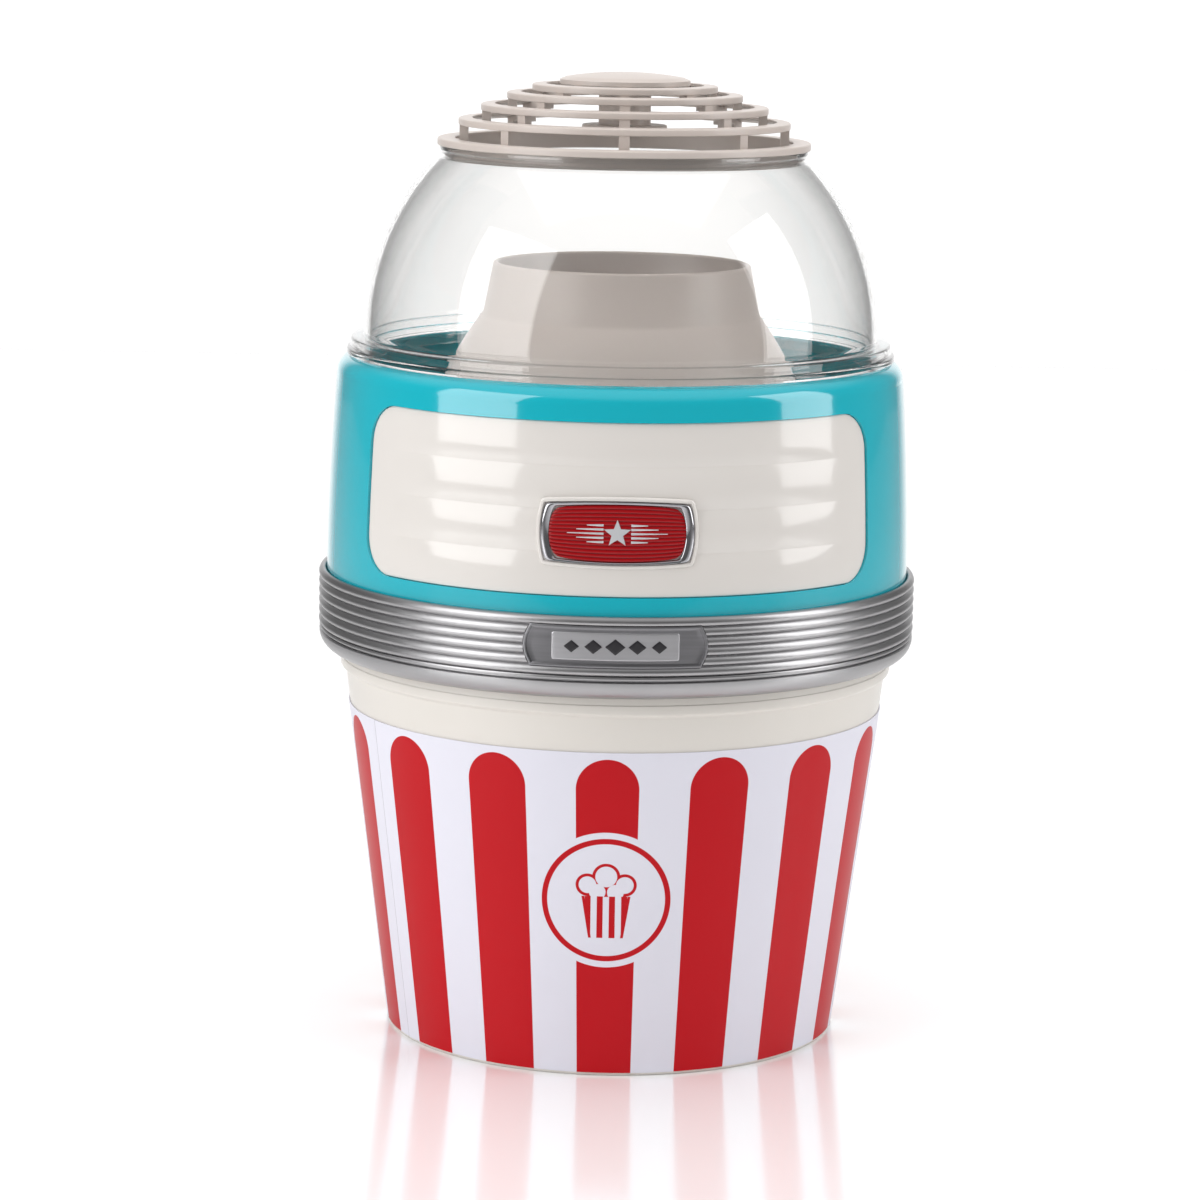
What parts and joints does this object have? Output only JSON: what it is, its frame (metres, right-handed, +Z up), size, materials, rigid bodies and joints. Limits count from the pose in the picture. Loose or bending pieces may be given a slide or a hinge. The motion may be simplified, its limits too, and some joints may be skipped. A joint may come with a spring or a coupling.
{
  "type": "popcorn maker",
  "caption": "Round hot-air popcorn maker with a clear dome and vent grille, standing in the mouth of a tapered striped bucket that catches the popcorn.",
  "frame": {"origin": "centre of the bucket's foot on the floor", "axes": "+Z up along the axis, -Y towards the front with the badge, +X to the right as seen from the front"},
  "size_m": [0.241, 0.241, 0.3867],
  "materials": {
    "bucket_plastic": "satin cream moulding",
    "label_paper": "printed paper with red stripes",
    "silver_trim": "satin metallised plastic",
    "plate_metal": "brushed",
    "teal_plastic": "high gloss",
    "dark_teal_plastic": "gloss",
    "cream_plastic": "high gloss",
    "chrome_trim": "polished",
    "badge_red": "gloss over fine ribs",
    "beige_plastic": "satin",
    "black_plastic": "matte",
    "screw_steel": "zinc plated",
    "aluminium_sheet": "drawn",
    "tin_plate": "plain sheet",
    "mica": "laminated mica",
    "heating_wire": "oxidised",
    "steel": "ground",
    "bush_bronze": "sintered",
    "magnet": "ferrite",
    "copper": "bright",
    "carbon": "matte",
    "impeller_plastic": "matte",
    "board": "phenolic board",
    "wire_insulation": "silicone sleeve",
    "clear_dome": "clear polycarbonate, polished"
  },
  "bodies": {
    "bucket": {"bucket": "bucket_plastic", "label_wrap": "label_paper"},
    "machine": {"base_ring": "beige_plastic", "band": "silver_trim", "nameplate": "plate_metal", "nameplate_inlay": "plate_metal", "upper_housing": "teal_plastic", "inner_sleeve": "dark_teal_plastic", "front_panel": "cream_plastic", "badge_frame": "chrome_trim", "badge_plate": "badge_red", "housing_screws": "screw_steel", "tower_shell": "beige_plastic", "tower_base": "beige_plastic", "base_screws": "screw_steel", "support_arms": "beige_plastic", "wiring_duct": "beige_plastic", "tower_screws": "screw_steel", "lug_screws": "screw_steel", "chute": "beige_plastic", "popping_chamber": "aluminium_sheet", "heater_shield": "tin_plate", "shield_screws": "screw_steel", "heater_frame": "mica", "heater_coil": "heating_wire", "thermostat": "aluminium_sheet", "thermal_fuse": "steel", "fan_housing": "black_plastic", "fan_screws": "screw_steel", "motor_can": "steel", "motor_screws": "screw_steel", "motor_end_cap": "black_plastic", "motor_bushes": "bush_bronze", "motor_magnets": "magnet", "motor_brushes": "carbon", "rectifier_board": "board", "diodes": "black_plastic", "terminal_block": "impeller_plastic", "internal_leads": "wire_insulation", "switch_body": "black_plastic", "cord_gland": "black_plastic"},
    "fan_rotor": {"motor_shaft": "steel", "armature": "steel", "commutator": "copper", "impeller": "impeller_plastic"},
    "rocker": {"switch_rocker": "black_plastic"},
    "dome": {"dome_lid": "clear_dome", "vent_grille": "beige_plastic"}
  },
  "joints": [
    {"name": "machine_lift", "type": "slide", "parent": "bucket", "child": "machine", "axis": [0, 0, 1], "range_m": [0, 0.06]},
    {"name": "dome_lift", "type": "slide", "parent": "machine", "child": "dome", "axis": [0, 0, 1], "range_m": [0, 0.06]},
    {"name": "fan_spin", "type": "hinge", "parent": "machine", "child": "fan_rotor", "pos_m": [0, 0, 0.16], "axis": [0, 0, 1], "continuous": true},
    {"name": "switch_rock", "type": "hinge", "parent": "machine", "child": "rocker", "pos_m": [0, 0.1142, 0.235], "axis": [1, 0, 0], "range_deg": [0, 16]}
  ]
}
